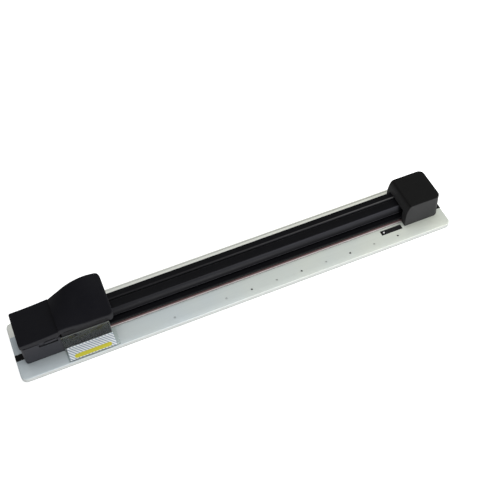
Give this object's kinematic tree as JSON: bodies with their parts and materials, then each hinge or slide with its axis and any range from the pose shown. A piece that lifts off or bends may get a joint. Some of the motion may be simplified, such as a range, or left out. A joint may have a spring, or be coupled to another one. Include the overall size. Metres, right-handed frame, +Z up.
{
  "type": "rotary paper trimmer",
  "caption": "Slim rotary paper trimmer: a pale metal base, a fixed black guide rail with a sprung paper clamp, and a sliding head that is pressed to cut",
  "frame": {"origin": "centre of the base plan, on the surface that the feet stand on", "axes": "+X along the guide rail, from the parked head to the far end cap; -Y is the side that the paper comes in from; +Z up"},
  "size_m": [0.64, 0.098, 0.0801],
  "materials": {
    "pale_metal": "satin pale grey coat on an extruded plate",
    "black_rubber": "matte",
    "mat_plastic": "matte",
    "line_red": "satin dark red",
    "black_plastic": "fine grain",
    "dark_grey_plastic": "fine grain",
    "white_plastic": "smooth",
    "clear_plastic": "clear sheet",
    "black_anodised": "black anodised, satin",
    "mill_alloy": "as milled",
    "bright_steel": "bright",
    "blade_steel": "ground",
    "spring_steel": "drawn wire",
    "bush_bronze": "sintered"
  },
  "bodies": {
    "base": {"base_plate": "pale_metal", "foot_1": "black_rubber", "foot_2": "black_rubber", "foot_3": "black_rubber", "foot_4": "black_rubber", "foot_5": "black_rubber", "foot_6": "black_rubber", "cutting_mat": "mat_plastic", "cut_line_strip": "line_red", "slot_plate": "black_plastic", "slot_plate_stud": "bright_steel", "guide_rail": "black_anodised", "rail_foot_left": "mill_alloy", "rail_foot_right": "mill_alloy", "rail_screw_left_outer": "bright_steel", "rail_screw_left_inner": "bright_steel", "rail_screw_right_outer": "bright_steel", "rail_screw_right_inner": "bright_steel", "shell_screw_left_1": "bright_steel", "shell_screw_left_2": "bright_steel", "shell_screw_right_1": "bright_steel", "shell_screw_right_2": "bright_steel", "left_end_block": "dark_grey_plastic", "left_end_cover": "black_plastic", "right_end_cap": "black_plastic", "clamp_post_left": "spring_steel", "clamp_post_right": "spring_steel"},
    "paper_clamp": {"clamp_strip": "black_anodised", "clamp_grip": "black_rubber", "clamp_spring_left": "spring_steel", "clamp_spring_right": "spring_steel"},
    "cutter_head": {"head_chassis": "dark_grey_plastic", "glide_shoe_left": "white_plastic", "glide_shoe_right": "white_plastic", "finger_guard": "clear_plastic", "guard_screw": "bright_steel", "press_post_left": "bright_steel", "press_post_right": "bright_steel"},
    "handle": {"head_cover": "black_plastic", "blade_carrier": "dark_grey_plastic", "carrier_screw_left": "bright_steel", "carrier_screw_right": "bright_steel", "blade_axle": "bright_steel", "axle_clip": "bright_steel", "roller_axle_left": "bright_steel", "roller_axle_right": "bright_steel", "press_spring_left": "spring_steel", "press_spring_right": "spring_steel"},
    "blade": {"cutter_blade": "blade_steel", "blade_hub": "black_plastic", "hub_cap": "black_plastic", "blade_bush": "bush_bronze"},
    "roller_left": {"press_roller_left": "white_plastic"},
    "roller_right": {"press_roller_right": "white_plastic"}
  },
  "joints": [
    {"name": "head_slide", "type": "slide", "parent": "base", "child": "cutter_head", "axis": [1, 0, 0], "range_m": [0, 0.434]},
    {"name": "handle_press", "type": "slide", "parent": "cutter_head", "child": "handle", "axis": [0, 0, -1], "range_m": [0, 0.0041], "stiffness_N_per_m": 2000, "springref_m": -0.001, "deforming": ["press_spring_left", "press_spring_right"]},
    {"name": "clamp_drop", "type": "slide", "parent": "base", "child": "paper_clamp", "axis": [0, 0, -1], "range_m": [0, 0.0041], "stiffness_N_per_m": 600, "springref_m": -0.003, "deforming": ["clamp_spring_left", "clamp_spring_right"]},
    {"name": "blade_spin", "type": "hinge", "parent": "handle", "child": "blade", "pos_m": [-0.21745, -0.0158, 0.0274], "axis": [0, 1, 0], "continuous": true},
    {"name": "roller_left_spin", "type": "hinge", "parent": "handle", "child": "roller_left", "pos_m": [-0.24045, -0.0098, 0.0221], "axis": [0, 1, 0], "continuous": true},
    {"name": "roller_right_spin", "type": "hinge", "parent": "handle", "child": "roller_right", "pos_m": [-0.19445, -0.0098, 0.0221], "axis": [0, 1, 0], "continuous": true}
  ],
  "couplings": [
    {"joint": "clamp_drop", "follows": "handle_press", "ratio": 1},
    {"joint": "blade_spin", "follows": "head_slide", "rad_per_m": 71.429},
    {"joint": "roller_left_spin", "follows": "head_slide", "rad_per_m": 250},
    {"joint": "roller_right_spin", "follows": "head_slide", "rad_per_m": 250}
  ]
}
